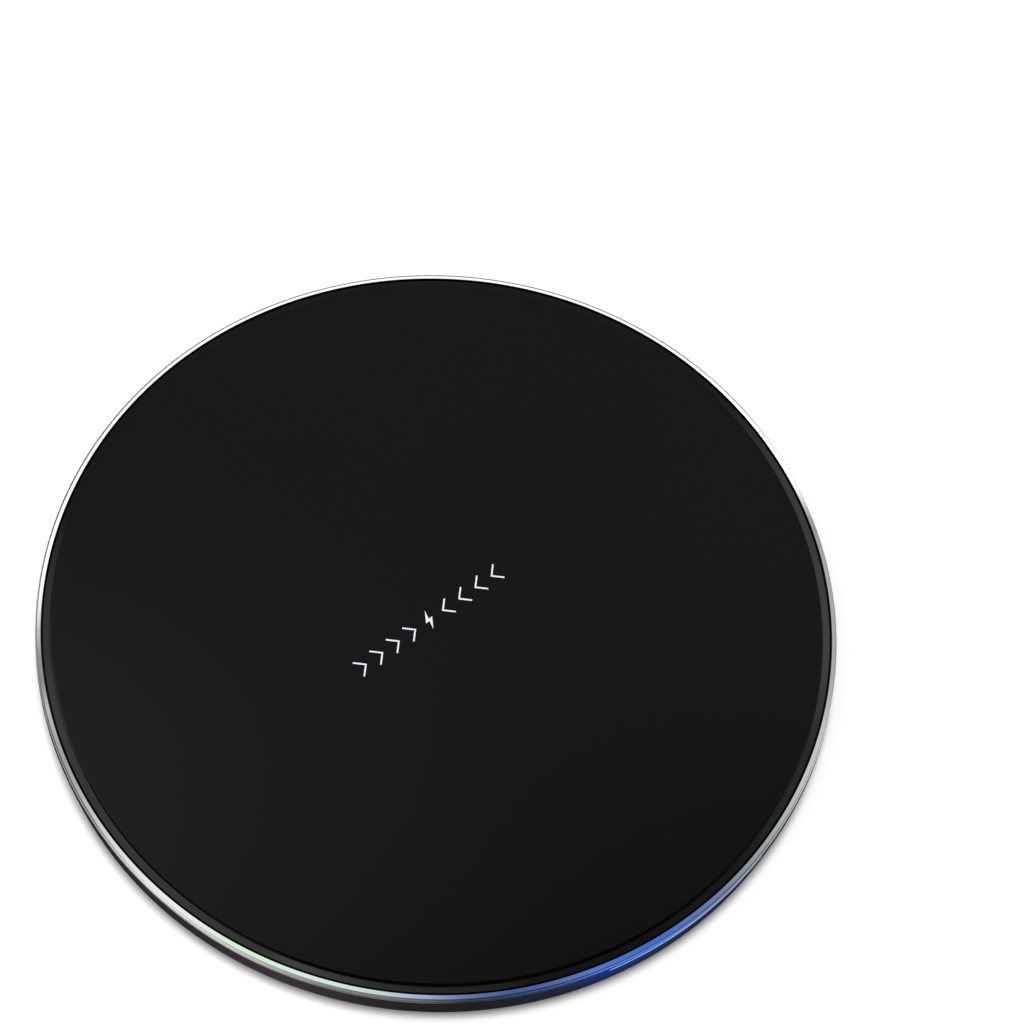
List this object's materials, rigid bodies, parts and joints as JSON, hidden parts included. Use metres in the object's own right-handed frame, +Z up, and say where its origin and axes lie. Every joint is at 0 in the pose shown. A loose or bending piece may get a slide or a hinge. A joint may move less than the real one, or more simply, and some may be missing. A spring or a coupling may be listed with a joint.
{
  "type": "wireless charging pad",
  "caption": "Slim round wireless charging pad with a black glass top, a polished aluminium bezel ring, a blue front light line and a rear power socket.",
  "frame": {"origin": "on the supporting surface, under the centre of the round pad", "axes": "+Z up out of the glass; +Y towards the power socket at the back; -Y towards the indicator light at the front"},
  "size_m": [0.1, 0.1, 0.0065],
  "materials": {
    "black_glass": "back-painted black glass, glossy, with a ground bevel",
    "polished_aluminium": "polished, fine turned grain",
    "black_moulding": "fine moulded texture",
    "light_guide": "clear, lit blue from behind",
    "label": "blank silver sticker",
    "white_moulding": "moulded, natural white",
    "copper": "enamelled stranded copper",
    "adhesive": "double-sided tape",
    "ferrite": "sintered, matt",
    "foam": "closed-cell foam",
    "board": "green solder mask",
    "chip_black": "moulded package",
    "capacitor": "fired ceramic with tinned ends",
    "led": "white moulded LED housing",
    "steel": "nickel plated",
    "rubber": "matt, slightly grained"
  },
  "bodies": {
    "root": {"top_glass": "black_glass", "glass_adhesive_ring": "adhesive", "bezel_ring": "polished_aluminium", "base_shell": "black_moulding", "light_guide": "light_guide", "rating_label": "label", "coil_carrier": "white_moulding", "coil_winding": "copper", "coil_tape": "adhesive", "ferrite_plate": "ferrite", "ferrite_tape": "adhesive", "coil_foam_pad": "foam", "coil_lead_inner": "copper", "coil_lead_outer": "copper", "thermistor": "chip_black", "circuit_board": "board", "controller_chip": "chip_black", "bridge_chip_left": "chip_black", "bridge_chip_right": "chip_black", "regulator_chip": "chip_black", "filter_inductor": "ferrite", "input_capacitor_1": "capacitor", "input_capacitor_2": "capacitor", "resonant_capacitor_1": "capacitor", "resonant_capacitor_2": "capacitor", "resonant_capacitor_3": "capacitor", "resonant_capacitor_4": "capacitor", "current_sense_resistor": "chip_black", "indicator_led_left": "led", "indicator_led_right": "led", "socket_shell": "steel", "socket_tongue": "chip_black", "base_screw_1": "steel", "rubber_foot_1": "rubber", "base_screw_2": "steel", "rubber_foot_2": "rubber", "base_screw_3": "steel", "rubber_foot_3": "rubber", "base_screw_4": "steel", "rubber_foot_4": "rubber"}
  },
  "joints": []
}
